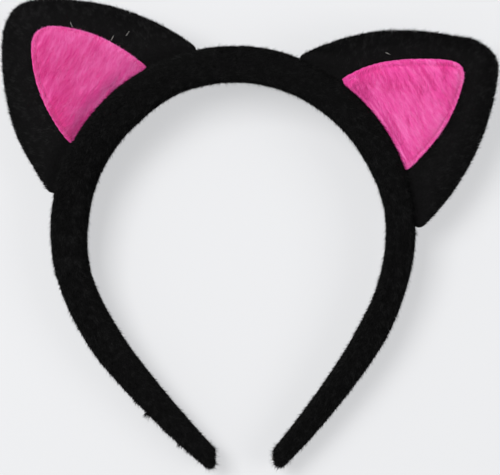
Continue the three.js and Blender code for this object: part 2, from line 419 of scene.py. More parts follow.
def pile_maker(name, fibres, length, density, lean, jitter, streak, stray_length, seed, grain_angle=0.0):
    """A geometry node tree that grows fibres on a brushed surface, each a closed thin spike."""
    tree = bpy.data.node_groups.new(name, "GeometryNodeTree")
    tree.interface.new_socket("Geometry", in_out="INPUT", socket_type="NodeSocketGeometry")
    tree.interface.new_socket("Geometry", in_out="OUTPUT", socket_type="NodeSocketGeometry")
    ground = add_node(tree, "NodeGroupInput").outputs[0]
    nap, cover, grown_out, tint = (
        add_node(tree, "GeometryNodeInputNamedAttribute", {"Name": field}, data_type=kind).outputs[0]
        for field, kind in PILE_FIELDS.items()
    )

    def maths(operation, *values):
        return add_node(tree, "ShaderNodeMath", dict(enumerate(values)), operation=operation).outputs[0]

    def vectors(operation, first, second):
        key = "Scale" if operation == "SCALE" else 1
        return add_node(tree, "ShaderNodeVectorMath", {0: first, key: second}, operation=operation).outputs[0]

    def drawn(low, high, draw_seed):
        inputs = {2: low, 3: high, "Seed": draw_seed}
        return add_node(tree, "FunctionNodeRandomValue", inputs, data_type="FLOAT").outputs[1]

    def stretched(value, inputs):
        return add_node(tree, "ShaderNodeMapRange", {"Value": value, **inputs}).outputs["Result"]

    thickness = maths("MULTIPLY", cover, density / MM**2)
    roots = add_node(
        tree,
        "GeometryNodeDistributePointsOnFaces",
        {"Mesh": ground, "Density": thickness, "Seed": seed},
    )
    normal = roots.outputs["Normal"]

    # Noise stretched along the grain, so that tufts lying together share a tone and a lean.
    place = add_node(tree, "GeometryNodeInputPosition").outputs[0]
    level = add_node(
        tree,
        "ShaderNodeVectorRotate",
        {"Vector": place, "Angle": math.radians(grain_angle)},
        rotation_type="Y_AXIS",
    )
    streak_place = vectors("MULTIPLY", level.outputs[0], [1 / (size * MM) for size in streak])
    streaks = add_node(tree, "ShaderNodeTexNoise", {"Vector": streak_place, "Scale": 1.0, "Detail": 2.0})
    streaks = streaks.outputs["Fac"]
    across = vectors("CROSS_PRODUCT", normal, nap)

    # Which way each fibre stands.
    standing = vectors("ADD", normal, vectors("SCALE", nap, lean))
    stray = add_node(
        tree,
        "FunctionNodeRandomValue",
        {0: [-jitter] * 3, 1: [jitter] * 3, "Seed": seed + 1},
        data_type="FLOAT_VECTOR",
    )
    strayed = vectors("ADD", standing, stray.outputs[0])
    part = stretched(
        streaks,
        {"From Min": 0.3, "From Max": 0.7, "To Min": -PARTING * jitter, "To Max": PARTING * jitter},
    )
    facing = vectors("ADD", strayed, vectors("SCALE", across, part))
    turned = add_node(tree, "FunctionNodeAlignRotationToVector", {"Vector": facing}, axis="Z")

    # One spike in each tone, and which tone each root gets.
    spikes = add_node(tree, "GeometryNodeGeometryToInstance")
    for fibre in reversed(fibres):
        spike = add_node(
            tree,
            "GeometryNodeMeshCone",
            {"Vertices": 3, "Radius Top": 0.0, "Radius Bottom": 1.0, "Depth": 1.0},
            fill_type="NGON",
        )
        inputs = {"Geometry": spike.outputs["Mesh"], "Material": fibre}
        tinted = add_node(tree, "GeometryNodeSetMaterial", inputs)
        tree.links.new(tinted.outputs[0], spikes.inputs[0])
    chance = drawn(-0.3, 0.3, seed + 2)
    shared = stretched(streaks, {"From Min": 0.2, "From Max": 0.8})
    tone = maths("ADD", maths("ADD", shared, chance), tint)
    pick = maths("MULTIPLY", tone, len(fibres) - 0.01)
    whole = maths("FLOOR", maths("MINIMUM", maths("MAXIMUM", pick, 0.0), len(fibres) - 0.5))

    # Most fibres are sheared to one length; a few stray ones were missed.
    luck = drawn(0.0, 1.0, seed + 3)
    missed = maths("POWER", luck, MISSED_RARITY)
    sheared = maths("MULTIPLY_ADD", luck, SHEARED_RANGE, SHEARED_SHORTEST)
    reach = maths("MULTIPLY_ADD", missed, stray_length, sheared)
    long = maths("MULTIPLY", maths("MULTIPLY", reach, length * MM), grown_out)
    half_width = FIBRE_WIDTH / 2 * MM
    size = add_node(tree, "ShaderNodeCombineXYZ", {"X": half_width, "Y": half_width, "Z": long})
    grown = add_node(
        tree,
        "GeometryNodeInstanceOnPoints",
        {
            "Points": roots.outputs["Points"],
            "Instance": spikes.outputs[0],
            "Pick Instance": True,
            "Instance Index": whole,
            "Rotation": turned.outputs[0],
            "Scale": size.outputs[0],
        },
    )
    real = add_node(tree, "GeometryNodeRealizeInstances", {"Geometry": grown.outputs[0]})
    add_node(tree, "NodeGroupOutput", {0: real.outputs[0]})
    return tree


def grow_pile(surface, name, maker):
    """A new piece: the pile that a maker grows on a surface, whose mesh stays as it is."""
    piece = copy_of(surface, name)
    piece.modifiers.new("pile", "NODES").node_group = maker
    settle(piece)
    for field in PILE_FIELDS:
        if field in piece.data.attributes:
            piece.data.attributes.remove(piece.data.attributes[field])
    return piece


def grow_black_piles(surface, name, lean, stray_length, first_seed):
    """The black pile on one surface, in two pieces so that neither is too heavy."""
    piles = []
    for i, part in enumerate(("a", "b")):
        maker = pile_maker(
            f"{name}_{part}",
            BLACK_PILE,
            length=1.3,
            density=BLACK_DENSITY,
            lean=lean,
            jitter=0.55,
            streak=(2.2, 2.2, 2.2),
            stray_length=stray_length,
            seed=first_seed + 10 * i,
        )
        piles.append(grow_pile(surface, f"{name}_{part}", maker))
    return piles


def always(value):
    return lambda place: value


def brush(surface, nap, cover=always(1.0), reach=always(1.0), tint=always(0.0)):
    """Writes each field of the pile at each vertex of a surface; the rules take millimetres."""
    mesh = surface.data
    for field, kind in PILE_FIELDS.items():
        mesh.attributes.new(field, kind, "POINT")
    for field, rule in zip(PILE_FIELDS, (nap, cover, reach, tint)):
        rows = mesh.attributes[field].data
        for row, vert in zip(rows, mesh.vertices):
            if field == "nap":
                row.vector = rule(vert.co / MM)
            else:
                row.value = rule(vert.co / MM)


# ---------------------------------------------------------------- the band


SLEEVE_SEGMENTS = 72


def sleeve_section():
    """The plush backing's section, set in by what the pile on it takes up."""
    inset = 0.45
    return rounded_ring(
        inset,
        BAND_THICKNESS - inset,
        BAND_WIDTH - 2 * inset,
        flat_power=0.32,
        dome_power=0.86,
        side_power=0.8,
    )


def between(table, s):
    """Smoothly between the rows (place, inner, outer) of a table."""
    for before, after in zip(table, table[1:]):
        if s <= after[0]:
            k = ramp(s, before[0], after[0])
            return [a + (b - a) * k for a, b in zip(before[1:], after[1:])]
    return table[-1][1:]


# How far the hand-laid padding swells each arm inwards and outwards, by the distance from the crown.
PADDING = {
    "left": [
        (0, 0.4, 0.4), (18, 0.7, 0.2), (46, 2.4, 0.1), (88, 1.9, 0.0),
        (118, 0.7, 0.3), (150, 2.0, 0.2), (190, 1.8, -1.1), (212, 1.3, -1.9),
    ],
    "right": [
        (0, 0.4, 0.7), (20, 0.1, 0.7), (45, 0.1, 0.3), (70, -0.1, 0.4),
        (100, -1.2, -0.3), (125, -0.9, -0.2), (150, 0.2, 0.2), (190, 0.3, -0.1), (212, 0.0, -0.6),
    ],
}


# The padding's lumps and the finer ripples on them: their length, their width and how much each
# swells the section. The ripples double between the crown and this far along the arm.
LUMP_LENGTH, LUMP_WIDTH, LUMP_SWELL = 13, 9, 0.026
RIPPLE_LENGTH, RIPPLE_WIDTH, RIPPLE_SWELL = 4.5, 4, 0.02
ROUGHEST_FROM = 140
# How deep and how wide the valley along the seam is.
VALLEY_DEPTH = 0.7
VALLEY_SPREAD = 0.7


def shape_sleeve(bm, side):
    """Hand-padded unevenness, and the shallow valley along the whipped seam."""
    middle = BAND_THICKNESS / 2
    for vert in bm.verts:
        u, v, minus_s = vert.co
        inner, outer = between(PADDING[side], abs(minus_s))
        lump = noise.noise(Vector((minus_s / LUMP_LENGTH, v / LUMP_WIDTH, u / LUMP_WIDTH)))
        fine = noise.noise(Vector((minus_s / RIPPLE_LENGTH, v / RIPPLE_WIDTH, u / RIPPLE_WIDTH + 7)))
        # The cut edges of the fabric make the arms rougher than the crown.
        rough = 0.5 + min(1.0, abs(minus_s) / ROUGHEST_FROM)
        swell = 1 + LUMP_SWELL * lump + RIPPLE_SWELL * rough * fine
        out = (u - middle) / middle
        vert.co.x = middle + (u - middle) * swell + (outer * out if out > 0 else inner * out)
        vert.co.y = v * swell
        if u < middle / 2:
            vert.co.x += VALLEY_DEPTH * math.exp(-(((v - SEAM_OFFSET) / VALLEY_SPREAD) ** 2))


def make_sleeve(side):
    """Half of the plush sleeve, from the meeting line at the crown to the folded tip."""
    end = SIGN[side] * (HALF_LENGTH - TIP_FOLD_LENGTH)
    bm = straight_tube(sleeve_section(), MEETING_S, end, step=1.5, segments=SLEEVE_SEGMENTS)
    shape_sleeve(bm, side)
    bend_to_band(bm)
    outwards_on_band(bm)
    sleeve = to_metres(to_object(bm, f"{side}_plush_sleeve"))

    brush(sleeve, lambda place: nearest_along(place, side))
    return sleeve


def outwards_on_band(bm):
    """Turns the faces of an open tube on the band to face away from its mid-line."""
    bmesh.ops.recalc_face_normals(bm, faces=bm.faces)
    bm.normal_update()
    bm.faces.ensure_lookup_table()
    face = min(bm.faces, key=lambda f: f.calc_center_median().x ** 2)
    out = face.calc_center_median() - Vector((0, 0, BAND_THICKNESS / 2))
    if face.normal.dot(out) < 0:
        bmesh.ops.reverse_faces(bm, faces=bm.faces)


ALONG_SAMPLES = {
    side: [(s, *band_point(SIGN[side] * s)) for s in range(0, int(HALF_LENGTH) + 1, 3)] for side in SIDES
}


def nearest_along(place, side):
    """The tip-ward direction of the band's line nearest to a place."""
    flat = Vector((place.x, 0, place.z))
    return min(ALONG_SAMPLES[side], key=lambda sample: (sample[1] - flat).length_squared)[3]


def make_filling(side, name, section):
    """A closed length of core or foam inside the sleeve."""
    end = SIGN[side] * (HALF_LENGTH - TIP_FOLD_LENGTH - FILLING_GAP)
    bm = straight_tube(section, MEETING_S, end, step=3.0, segments=32)
    close_ends(bm)
    bend_to_band(bm)
    bmesh.ops.recalc_face_normals(bm, faces=bm.faces)
    return to_metres(to_object(bm, f"{side}_{name}"))


# The gathers round a folded tip: how many, how deep, and the angle of the first.
GATHERS, GATHER_DEPTH, FIRST_GATHER = 9, 0.08, 1.3
# The higher the bluntness, the later the tip closes; the closing is how far, as a share.
TIP_BLUNTNESS, TIP_CLOSING = 9, 0.9


def make_tip_fold(side):
    """The sleeve's end, folded in over the tip: a blunt, gathered cap."""
    start = SIGN[side] * (HALF_LENGTH - TIP_FOLD_LENGTH)
    end = SIGN[side] * HALF_LENGTH
    bm = straight_tube(sleeve_section(), start, end, step=0.25, segments=SLEEVE_SEGMENTS)
    shape_sleeve(bm, side)
    middle = BAND_THICKNESS / 2
    for vert in bm.verts:
        past = max(0.0, (abs(vert.co.z) - abs(start)) / TIP_FOLD_LENGTH)
        angle = math.atan2(vert.co.y, vert.co.x - middle)
        gather = 1 + GATHER_DEPTH * past * math.cos(GATHERS * angle + FIRST_GATHER)
        shrink = math.sqrt(max(0.02, 1 - TIP_CLOSING * past**TIP_BLUNTNESS)) * gather
        out = (vert.co.x - middle) / middle
        # The cut slants: the fabric is drawn over from the outer side to the inner one.
        vert.co.z -= SIGN[side] * past * (1.7 * out + 1.3 * (1 - out * out) + 0.3)
        vert.co.x = middle + (vert.co.x - middle) * shrink
        vert.co.y *= shrink
    bend_to_band(bm)
    close_ends(bm)
    return to_metres(to_object(bm, f"{side}_sleeve_tip"))


def make_stitch(bm, start, end, radius, sides=6):
    """One stitch of thread, sunk a little at both ends."""
    axis = end - start
    length = axis.length
    turn = axis.to_track_quat("Z", "Y").to_matrix().to_4x4()
    made = bmesh.ops.create_cone(
        bm,
        cap_ends=True,
        segments=sides,
        radius1=radius,
        radius2=radius,
        depth=length,
        matrix=Matrix.Translation((start + end) / 2) @ turn,
    )["verts"]
    caps = []
    for vert in made:
        for face in vert.link_faces:
            if len(face.verts) == sides and face not in caps:
                caps.append(face)
    for cap in caps:
        bmesh.ops.inset_region(bm, faces=[cap], thickness=radius * 0.45, depth=radius * 0.5)


def make_seam(side, sleeve):
    """Whip stitches slanting across the valley where the sleeve's two edges meet."""
    skin = surface_of(sleeve)
    bm = bmesh.new()
    pitch, reach, sunk, thread_radius = 3.2, 1.25, 0.08, 0.26
    first = MEETING_S + SIGN[side] * 1.2
    last = SIGN[side] * (HALF_LENGTH - TIP_FOLD_LENGTH - 2)
    for i in range(int(abs(last - first) / pitch)):
        s = first + SIGN[side] * pitch * i
        tilt = 0.9 + 0.25 * noise.noise(Vector((i * 1.7, 2.0, 0)))
        ends = []
        for across in (-1, 1):
            at = s + SIGN[side] * across * tilt
            out = band_point(at)[1]
            hit = skin.ray_cast(on_band(-5, SEAM_OFFSET + across * reach, at) * MM, out)[0]
            ends.append(hit / MM - out * sunk)
        make_stitch(bm, ends[0], ends[1], thread_radius)
    return to_metres(to_object(bm, f"{side}_seam_stitches"))


# Tufts that the shears missed: (along the arm, out, across, length, lean towards the tip).
TUFTS = {
    "left": [
        (117, 13.0, -3.5, 1.5, -0.9),
        (146, 12.8, -1.0, 0.8, 0.4),
        (174, 12.8, -2.0, 0.9, 0.5),
        (181, 13.0, -3.0, 2.0, 0.3),
        (190, 12.2, -2.0, 0.8, 0.5),
        (198, 12.2, -2.5, 1.5, 0.6),
        (203, 12.0, -1.0, 0.9, 0.4),
        (197, 0.8, -2.5, 1.4, -0.2),
        (209, 1.5, -1.5, 1.2, 0.4),
    ],
    "right": [(211, 9.0, -1.5, 1.8, 2.2)],
}


def make_tufts(side):
    """Bunches of a few long fibres, fanned out from one root."""
    fibres_in_tuft, rooted, fibre_radius = 30, 0.8, 0.13
    draw = random.Random(7)
    bm = bmesh.new()
    for s, u, v, length, lean in TUFTS[side]:
        _, out, along = band_point(SIGN[side] * s)
        facing = out if u > BAND_THICKNESS / 2 else -out
        root = on_band(u, v, SIGN[side] * s) - facing * rooted
        for _ in range(fibres_in_tuft):
            spread = Vector([draw.uniform(-1, 1) for _ in range(3)])
            start = root + along * spread.x * 0.9 + Vector((0, spread.y * 1.2, 0))
            axis = (facing + along * (lean + 0.35 * spread.x) + Vector((0, 0.3 * spread.z, 0))).normalized()
            reach = 1.6 + length * draw.uniform(0.4, 1.0)
            turn = axis.to_track_quat("Z", "Y").to_matrix().to_4x4()
            bmesh.ops.create_cone(
                bm,
                cap_ends=True,
                segments=3,
                radius1=fibre_radius,
                radius2=0,
                depth=reach,
                matrix=Matrix.Translation(start + axis * reach / 2) @ turn,
            )
    return to_metres(to_object(bm, f"{side}_sleeve_tufts"))


def make_glue_dab():
    """A bead of glue squeezed out where the right tip's fabric was folded in."""
    bm = bmesh.new()
    place = on_band(4.1, -3.0, HALF_LENGTH + 0.5)
    bmesh.ops.create_icosphere(bm, subdivisions=3, radius=1.1, matrix=Matrix.Translation(place))
    for vert in bm.verts:
        vert.co += (vert.co - place) * 0.35 * noise.noise(vert.co / 1.1)
    return to_metres(to_object(bm, "right_tip_glue_dab"))


# ---------------------------------------------------------------- the ears


# The share of an arch's outline that each side takes, up to the shoulder, and that its peak takes.
ARCH_SIDE = 0.38
ARCH_PEAK = 0.24


def arch_point(arch, t):
    """A point of a pointed arch, t from 0 at its right foot over the peak to 1 at its left."""
    half, low, bow, shoulder, peak = arch
    mirror = 1 if t <= 0.5 else -1
    t = min(t, 1 - t)
    if t < ARCH_SIDE:
        k = t / ARCH_SIDE
        p0, p1, p2 = Vector((half, low)), Vector(bow), Vector(shoulder)
    else:
        k = (t - ARCH_SIDE) / ARCH_PEAK
        p0, p1, p2 = Vector(shoulder), Vector((0, peak)), Vector((-shoulder[0], shoulder[1]))
    place = p0 * (1 - k) ** 2 + p1 * 2 * k * (1 - k) + p2 * k**2
    return Vector((mirror * place.x, place.y))


def sewn_edge(arch, steps=64):
    """The arch's sewn edge, as points."""
    return [arch_point(arch, i / steps) for i in range(steps + 1)]


def arch_outline(arch, foot):
    """The arch with its foot hollowed to a radius round the band's ring centre."""
    points = [p for p in sewn_edge(arch) if p.length > foot]
    start, end = points[-1], points[0]
    first, last = math.atan2(start.y, start.x), math.atan2(end.y, end.x)
    steps = 16
    arc = [first + (last - first) * i / steps for i in range(1, steps)]
    return points + [Vector((foot * math.cos(a), foot * math.sin(a))) for a in arc]


def edge_distance(place, outline, closed=True):
    """How far a point is from an outline."""
    best = 1e9
    pairs = zip(outline, outline[1:] + outline[:1]) if closed else zip(outline, outline[1:])
    for a, b in pairs:
        along = b - a
        k = max(0.0, min(1.0, (place - a).dot(along) / along.length_squared))
        best = min(best, (a + along * k - place).length_squared)
    return math.sqrt(best)


def flat_plate(outline, front, back, name, voxel):
    """A plate of even cells in the ear's own plane: x across, z up from the ring centre."""
    bm = bmesh.new()
    verts = [bm.verts.new((p.x, back, p.y)) for p in outline]
    face = bmesh.ops.contextual_create(bm, geom=verts)["faces"][0]
    moved = bmesh.ops.extrude_face_region(bm, geom=[face])["geom"]
    bmesh.ops.translate(
        bm, vec=(0, front - back, 0), verts=[v for v in moved if isinstance(v, bmesh.types.BMVert)]
    )
    bmesh.ops.recalc_face_normals(bm, faces=bm.faces)
    plate = to_object(bm, name)
    cells = plate.modifiers.new("cells", "REMESH")
    cells.mode = "VOXEL"
    cells.voxel_size = voxel
    return settle(plate)


def soften(piece, rounds, factor=0.5):
    smooth = piece.modifiers.new("soften", "SMOOTH")
    smooth.iterations = rounds
    smooth.factor = factor
    return settle(piece)


# Cloth is blown up at this size, where its stiffness works well, for this many frames.
CLOTH_SCALE = 0.01
CLOTH_FRAMES = 20


def inflate(piece, held, pressure, most):
    """Blows a closed fabric piece up with cloth, held along its seams; sizes in millimetres."""
    before = [vert.co.copy() for vert in piece.data.vertices]
    pins = piece.vertex_groups.new(name="seams")
    for i, place in enumerate(before):
        pins.add([i], held(place), "REPLACE")
    piece.data.transform(Matrix.Scale(CLOTH_SCALE, 4))
    cloth = piece.modifiers.new("cloth", "CLOTH")
    settings = cloth.settings
    settings.quality = 6
    settings.mass = 0.15
    settings.tension_stiffness = settings.compression_stiffness = 12
    settings.shear_stiffness = 6
    settings.bending_stiffness = 0.4
    settings.use_pressure = True
    settings.uniform_pressure_force = pressure
    settings.vertex_group_mass = "seams"
    settings.effector_weights.gravity = 0
    cloth.collision_settings.use_collision = False
    scene = bpy.context.scene
    for step in range(1, CLOTH_FRAMES + 1):
        scene.frame_set(step)
        bpy.context.view_layer.update()
    settle(piece)
    scene.frame_set(1)
    piece.data.transform(Matrix.Scale(1 / CLOTH_SCALE, 4))
    for vert, start in zip(piece.data.vertices, before):
        move = vert.co - start
        if move.length > most:
            vert.co = start + move * (most / move.length)
    piece.vertex_groups.clear()
    return piece


# Half the thickness that each ear is stuffed to before it is blown up, and the size of its cells.
STUFFED_HALF = 3.2
COVER_CELL = 1.3
# How close to a seam or a line of stitches the cloth is held.
HELD_AT_FOOT = 1.5
HELD_AT_EDGE = 1.6
HELD_AT_STITCHES = 0.9


def make_ear_cover():
    """Both plush panels of an ear, sewn round the edge, turned and stuffed; open at its foot."""
    outline = arch_outline(EAR_ARCH, EAR_FOOT - 3)
    sewn = sewn_edge(EAR_ARCH)
    stitched = arch_outline(INNER_ARCH, EAR_FOOT)
    cover = flat_plate(outline, -STUFFED_HALF, STUFFED_HALF, "ear_cover", COVER_CELL)
    soften(cover, 6)

    def held(place):
        spot = Vector((place.x, place.z))
        if spot.length < EAR_FOOT + HELD_AT_FOOT:
            return 1.0
        if abs(place.y) < 1.0 and edge_distance(spot, sewn, closed=False) < HELD_AT_EDGE:
            return 1.0
        if place.y < -2 and edge_distance(spot, stitched) < HELD_AT_STITCHES:
            return 1.0
        return 0.0

    inflate(cover, held, pressure=0.9, most=1.6)
    bm = bmesh.new()
    bm.from_mesh(cover.data)
    middles = [(face, face.calc_center_median()) for face in bm.faces]
    foot = [face for face, middle in middles if Vector((middle.x, middle.z)).length < EAR_FOOT]
    bmesh.ops.delete(bm, geom=foot, context="FACES")
    for vert in bm.verts:
        if vert.is_boundary:
            spot = Vector((vert.co.x, vert.co.z))
            spot *= EAR_FOOT / spot.length
            vert.co.x, vert.co.z = spot
    bm.to_mesh(cover.data)
    bm.free()
    finer = cover.modifiers.new("finer", "SUBSURF")
    finer.levels = finer.render_levels = 1
    return settle(cover)


def surface_of(piece):
    """A piece's faces, to cast rays at."""
    bm = bmesh.new()
    bm.from_mesh(piece.data)
    tree = BVHTree.FromBMesh(bm)
    bm.free()
    return tree


def front_of(skin, spot):
    """Where a line from the front meets a surface, at a place in the ear's own plane."""
    return skin.ray_cast(Vector((spot.x, -30, spot.y)), Vector((0, 1, 0)))[0]


PATCH_CELL = 0.55
# The groove that the stitches pull in the patch: how far from its edge, how deep and how wide.
GROOVE_INSET = 2.1
GROOVE_DEPTH = 0.55
GROOVE_SPREAD = 0.6
# How much thicker the patch is away from its cut edge, and how soon.
PATCH_RISE = 0.9
PATCH_RISE_OVER = 2.2
PATCH_SUNK = 0.12


def make_inner_panel(cover):
    """The pink panel: a plush patch laid on the cover, sunk along its line of stitches."""
    outline = arch_outline(INNER_ARCH, EAR_FOOT + 0.3)
    sewn = sewn_edge(INNER_ARCH)
    panel = flat_plate(outline, -1.0, 0.0, "inner_panel", PATCH_CELL)
    soften(panel, 3)
    under = surface_of(cover)
    for vert in panel.data.vertices:
        spot = Vector((vert.co.x, vert.co.z))
        edge = edge_distance(spot, sewn, closed=False)
        hit = front_of(under, spot)
        back = (hit.y if hit else -EAR_DEPTH) - PATCH_SUNK
        rise = PATCH_RISE * (1 - math.exp(-edge / PATCH_RISE_OVER))
        groove = GROOVE_DEPTH * math.exp(-(((edge - GROOVE_INSET) / GROOVE_SPREAD) ** 2))
        vert.co.y = back + vert.co.y * (1.0 + rise - groove)
    return panel


def make_inner_stitches(panel):
    """Running stitches sunk in the pink panel's groove."""
    under = surface_of(panel)
    line = sewn_edge(INNER_ARCH, 400)
    inset = []
    for before, place, after in zip(line, line[1:], line[2:]):
        along = (after - before).normalized()
        inset.append(place + Vector((-along.y, along.x)) * GROOVE_INSET)
    bm = bmesh.new()
    stitch, gap, thread_radius = 2.0, 0.7, 0.2
    proud = Vector((0, -0.1, 0))
    walked, start = 0.0, None
    for before, place in zip(inset, inset[1:]):
        if place.length < EAR_FOOT + 2:
            continue
        start = start or before
        walked += (place - before).length
        if walked >= stitch:
            ends = []
            for spot in (start, place):
                hit = front_of(under, spot)
                if hit:
                    ends.append(hit + proud)
            if len(ends) == 2:
                make_stitch(bm, ends[0], ends[1], thread_radius)
            start, walked = None, -gap
        elif walked < 0:
            start = place
    return to_object(bm, "inner_stitches")


# Under 1, a strip's section is squarer than an ellipse.
STRIP_SQUARENESS = 0.7


def foot_strip(name, inner, outer, depth, half_angle, lumps=0.0):
    """A rounded strip that follows the band under an ear."""
    bm = bmesh.new()
    ring = bmesh.ops.create_circle(bm, cap_ends=True, radius=1, segments=20)["verts"]
    middle, half = (inner + outer) / 2, (outer - inner) / 2
    for vert in ring:
        across = depth * signed_power(vert.co.y, STRIP_SQUARENESS)
        vert.co = (0, across, middle + half * signed_power(vert.co.x, STRIP_SQUARENESS))
    bmesh.ops.rotate(bm, verts=bm.verts, cent=(0, 0, 0), matrix=Matrix.Rotation(-half_angle, 3, "Y"))
    bmesh.ops.spin(
        bm,
        geom=list(bm.faces),
        cent=(0, 0, 0),
        axis=(0, 1, 0),
        angle=2 * half_angle,
        steps=64,
        use_merge=False,
    )
    in_order(bm)
    bmesh.ops.remove_doubles(bm, verts=bm.verts, dist=1e-4)
    for vert in bm.verts:
        blob = noise.noise(vert.co / 3.5) * lumps
        vert.co.y *= 1 + blob
    bmesh.ops.recalc_face_normals(bm, faces=bm.faces)
    return to_object(bm, name)


def soft_copy(node, name):
    """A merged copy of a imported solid, cut finely enough to bend."""
    bm = bmesh.new()
    bm.from_mesh(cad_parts[node].data)
    bmesh.ops.remove_doubles(bm, verts=bm.verts, dist=1e-6)
    for height in range(62, 124, 4):
        bmesh.ops.bisect_plane(
            bm,
            geom=list(bm.verts) + list(bm.edges) + list(bm.faces),
            dist=1e-7,
            plane_co=ear_place(node.split("_")[0], Vector((0, 0, height))) * MM,
            plane_no=ear_turn(node.split("_")[0]) @ Vector((0, 0, 1)),
        )
    bmesh.ops.triangulate(bm, faces=[f for f in bm.faces if len(f.verts) > 4])
    for vert in bm.verts:
        vert.co.y *= foot_depth(math.hypot(vert.co.x, vert.co.z - RING_CENTRE_Z * MM) / MM)
    return to_object(bm, name)


def foot_depth(radius):
    """How deep an ear still is near its foot, where both panels turn in behind the band's edge."""
    least = 0.4
    return least + (1 - least) * ramp(radius, BAND_TOP - 0.5, BAND_TOP + 6.5)


def pinch_foot(piece):
    for vert in piece.data.vertices:
        vert.co.y *= foot_depth(math.hypot(vert.co.x, vert.co.z))


def ear_turn(side):
    return Matrix.Rotation(math.radians(EAR_ANGLE[side]), 3, "Y")


def ear_place(side, place):
    """From an ear's own plane, z up from the ring centre, to the headband's frame."""
    return ear_turn(side) @ place + Vector((0, 0, RING_CENTRE_Z))


def sew_by_hand(cover, side):
    """Each ear's seam strays from the pattern: one is fuller, the other blunter at its peak."""
    for vert in cover.data.vertices:
        x, z = vert.co.x, vert.co.z
        if side == "left":
            vert.co.x -= 2.0 * ramp(-x, -2, 13) * (1 - 0.7 * ramp(-z, -92, -70)) + 0.3 * ramp(x, 10, 30)
            vert.co.z -= 0.5 * ramp(z, 96, 112) * ramp(x, -4, 8)
        else:
            vert.co.x += 0.9 * ramp(-x, 5, 17) * ramp(z, 90, 105)
            vert.co.z -= 1.4 * ramp(z, 100, 120) * ramp(-x, -8, 4)


def patch_shift(side, x, z):
    """How far each pink patch was laid to one side of the pattern: the right one, most at its foot."""
    if side == "left":
        return 0.0
    far = ramp(x, -8, 8)
    return -2.3 * far - 2.5 * (1 - far) * (1 - ramp(z, 78, 104))


def lay_by_hand(patch, side):
    for vert in patch.data.vertices:
        vert.co.x += patch_shift(side, vert.co.x, vert.co.z)


def set_on_band(piece, side, name, by_hand=None):
    """A copy of an ear piece, turned to where that side's ear stands, in metres."""
    made = copy_of(piece, name)
    if by_hand:
        by_hand(made, side)
    made.data.transform(Matrix.Translation((0, 0, RING_CENTRE_Z)) @ ear_turn(side).to_4x4())
    return to_metres(made)


# ---------------------------------------------------------------- putting it together


def bend_with_arm(piece, side):
    """Bakes the piece's placing into its mesh; the flex place and the start of the bend are worked out but
    not used.
    """
    flex = on_band(BAND_THICKNESS / 2, 0, FLEX_S[side])
    start = on_band(BAND_THICKNESS / 2, 0, FLEX_S[side] - SIGN[side] * BEND_REACH)
    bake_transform(piece)


def bend_with_ear(piece):
    """Bakes the piece's placing into its mesh."""
    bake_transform(piece)


# (inner side, outer side, width) of the core and of the foam on it, at the crown.
CORE_SIZE = (2.0, 3.8, 13.5)
FOAM_SIZE = (4.1, 11.2, 14.6)
SLEEVE_CLOTH = 1.4
COVER_CLOTH = 1.1
# How far on each side of the flex place bend_with_arm puts the start of the bend, which it does not use.
BEND_REACH = 8


def build_band(side):
    sleeve = make_sleeve(side)
    for pile in grow_black_piles(sleeve, f"{side}_sleeve_pile", lean=1.2, stray_length=1.2, first_seed=11):
        bend_with_arm(pile, side)
    seam = make_seam(side, sleeve)
    shell(sleeve, SLEEVE_CLOTH * MM)
    finish_piece(sleeve, BLACK_GROUND)
    bend_with_arm(sleeve, side)
    replaced = [f"{side}_arm_sleeve"] + (["crown_sleeve"] if side == "left" else [])
    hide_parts(*replaced)

    strip = rounded_ring(*CORE_SIZE, flat_power=0.25, dome_power=0.25, side_power=0.6)
    core = make_filling(side, "core_strip", strip)
    finish_piece(core, BAND_PLASTIC)
    pad = rounded_ring(*FOAM_SIZE, flat_power=0.3, dome_power=0.8, side_power=0.75)
    foam = make_filling(side, "foam_pad", pad)
    finish_piece(foam, BAND_FOAM)
    for piece, kind, slot in ((core, "core", "band_plastic"), (foam, "foam", "band_foam")):
        bend_with_arm(piece, side)
        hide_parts(f"{side}_arm_{kind}", *([f"crown_{kind}"] if side == "left" else []))

    tip = make_tip_fold(side)
    brush(tip, lambda place: nearest_along(place, side))
    maker = pile_maker(
        f"{side} tip pile",
        BLACK_PILE,
        length=1.3,
        density=BLACK_DENSITY * 2,
        lean=0.9,
        jitter=0.8,
        streak=(2, 2, 2),
        stray_length=1.6,
        seed=77,
    )
    tip_pile = grow_pile(tip, f"{side}_tip_pile", maker)
    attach(tip_pile, f"{side}_arm")
    finish_piece(tip, BLACK_GROUND)
    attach(tip, f"{side}_arm")
    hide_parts(f"{side}_tip_fold")

    tufts = make_tufts(side)
    finish_piece(tufts, BLACK_PILE[1], smooth=False)
    bend_with_arm(tufts, side)

    finish_piece(seam, BLACK_THREAD)
    bend_with_arm(seam, side)
    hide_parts(f"{side}_arm_seam", *(["crown_seam"] if side == "left" else []))


# Both pink panels were cut the same way round, so the pile lies across each ear from one side
# seam to the other: degrees up from the ear's own level.
NAP_ANGLE = {"left": 13.0, "right": -4.0}


def pink_nap(side, local):
    """Across the ear in waves, and steeper away from the middle."""
    wave = noise.noise(Vector((local.x / 11, 3.0, local.z / 11)))
    angle = math.radians(NAP_ANGLE[side] + 0.35 * local.x + 30 * wave)
    return ear_turn(side) @ Vector((math.cos(angle), 0, math.sin(angle)))


